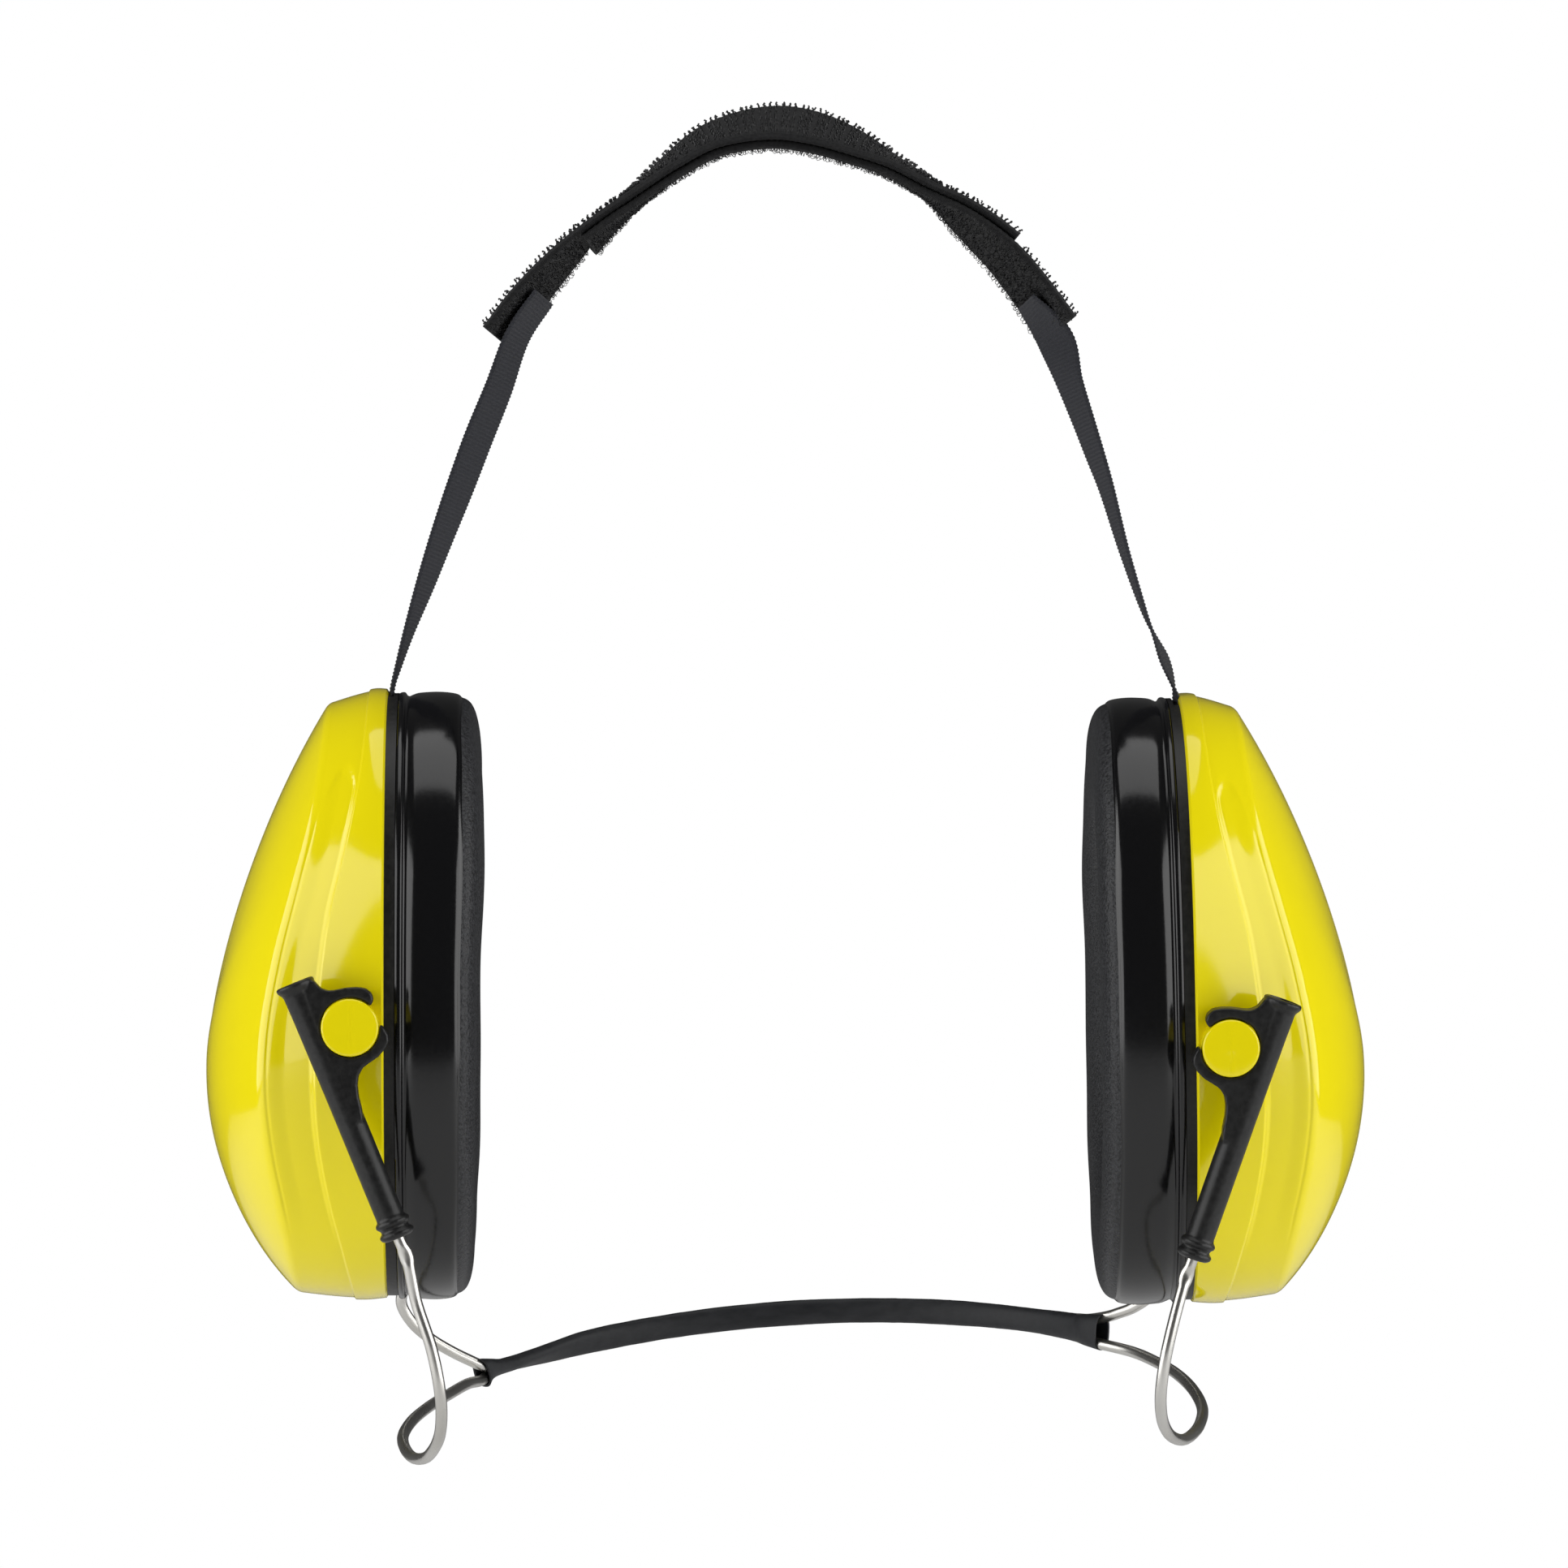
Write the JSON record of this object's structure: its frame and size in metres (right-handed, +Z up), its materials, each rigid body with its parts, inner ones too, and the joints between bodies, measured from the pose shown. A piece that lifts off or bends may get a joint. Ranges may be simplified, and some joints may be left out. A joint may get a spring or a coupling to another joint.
{
  "type": "earmuff hearing protector",
  "caption": "Neckband earmuff: domed ear cups with sealing cushions on pivoting arms, sprung wires round the nape in a flat sleeve, and a hook-and-loop head strap.",
  "frame": {"origin": "middle of the wearer's head, on the line through both ears, halfway between the cushions", "axes": "+Z up, +Y to the nape of the neck, +X to the wearer's left"},
  "size_m": [0.1999, 0.1455, 0.2335],
  "materials": {
    "cup_yellow": "gloss",
    "seal_plate": "satin",
    "cushion_vinyl": "gloss",
    "cushion_foam": "matte",
    "liner_foam": "matte",
    "arm_black": "satin",
    "wire_steel": "polished",
    "sleeve_black": "matte",
    "ribbon_grosgrain": "ribbed",
    "strip_hook_loop": "hook and loop"
  },
  "bodies": {
    "neckband": {"neckband_sleeve": "sleeve_black", "upper_core_wire": "wire_steel", "lower_core_wire": "wire_steel", "right_strap_ribbon": "ribbon_grosgrain", "left_strap_ribbon": "ribbon_grosgrain"},
    "head_strap": {"outer_strap_strip": "strip_hook_loop", "inner_strap_strip": "strip_hook_loop"},
    "right_wires": {"right_front_wire": "wire_steel", "right_rear_wire": "wire_steel"},
    "right_arms": {"right_front_arm": "arm_black", "right_rear_arm": "arm_black"},
    "right_cup": {"right_cup_shell": "cup_yellow", "right_cushion_plate": "seal_plate", "right_cushion_cover": "cushion_vinyl", "right_cushion_foam": "cushion_foam", "right_foam_liner": "liner_foam", "right_strap_anchor": "seal_plate"},
    "left_wires": {"left_front_wire": "wire_steel", "left_rear_wire": "wire_steel"},
    "left_arms": {"left_front_arm": "arm_black", "left_rear_arm": "arm_black"},
    "left_cup": {"left_cup_shell": "cup_yellow", "left_cushion_plate": "seal_plate", "left_cushion_cover": "cushion_vinyl", "left_cushion_foam": "cushion_foam", "left_foam_liner": "liner_foam", "left_strap_anchor": "seal_plate"}
  },
  "joints": [
    {"name": "strap_swing", "type": "hinge", "parent": "neckband", "child": "head_strap", "pos_m": [0, 0, 0.1153], "axis": [1, 0, 0], "range_deg": [-40, 40]},
    {"name": "right_band_flex", "type": "hinge", "parent": "neckband", "child": "right_wires", "pos_m": [-0.05408, 0.05988, -0.06875], "axis": [0, 0, -1], "range_deg": [-6, 18], "stiffness_Nm_per_rad": 3.3},
    {"name": "right_height", "type": "slide", "parent": "right_wires", "child": "right_arms", "axis": [-0.3794, -0.0079, 0.9252], "range_m": [0, 0.015], "deforming": ["right_strap_ribbon"]},
    {"name": "right_cup_tilt", "type": "hinge", "parent": "right_arms", "child": "right_cup", "pos_m": [-0.07348, -0.00154, -0.0045], "axis": [-0.0209, 0.9998, 0], "range_deg": [-12, 12]},
    {"name": "left_band_flex", "type": "hinge", "parent": "neckband", "child": "left_wires", "pos_m": [0.05408, 0.05988, -0.06146], "axis": [0, 0, 1], "range_deg": [-6, 18], "stiffness_Nm_per_rad": 3.3},
    {"name": "left_height", "type": "slide", "parent": "left_wires", "child": "left_arms", "axis": [0.3288, -0.054, 0.9428], "range_m": [0, 0.015], "deforming": ["left_strap_ribbon"]},
    {"name": "left_cup_tilt", "type": "hinge", "parent": "left_arms", "child": "left_cup", "pos_m": [0.07358, 0.00094, -0.00518], "axis": [-0.0105, 0.9981, 0.0608], "range_deg": [-12, 12]}
  ]
}
